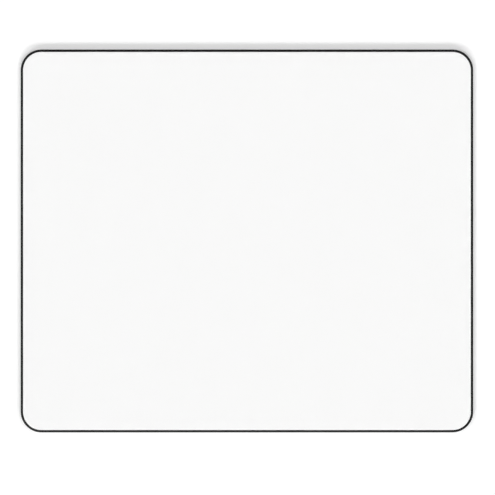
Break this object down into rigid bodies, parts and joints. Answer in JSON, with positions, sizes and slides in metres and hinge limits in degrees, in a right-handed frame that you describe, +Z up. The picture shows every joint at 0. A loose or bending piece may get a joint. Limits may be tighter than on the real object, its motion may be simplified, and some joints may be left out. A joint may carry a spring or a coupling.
{
  "type": "mouse pad",
  "caption": "Flat rectangular mouse pad with rounded corners: white knit cloth face bonded to a black sponge rubber base that shows as a thin dark rim, with a grip sole underneath",
  "frame": {"origin": "middle of the underside, on the surface that the pad lies on", "axes": "+X along the long side, to the right for the user; +Y towards the back edge, away from the user; +Z up out of the cloth face"},
  "size_m": [0.23, 0.1946, 0.003],
  "materials": {
    "sole_rubber": "dense matte black rubber with an embossed grip texture",
    "sponge_rubber": "matte black sponge rubber with a finely pored cut edge",
    "hot_melt": "milky hot-melt adhesive film, satin",
    "knit_cloth": "bright white fine polyester knit, matte with a faint sheen"
  },
  "bodies": {
    "root": {"grip_sole": "sole_rubber", "sponge_base": "sponge_rubber", "adhesive_film": "hot_melt", "cloth_top": "knit_cloth"}
  },
  "joints": []
}
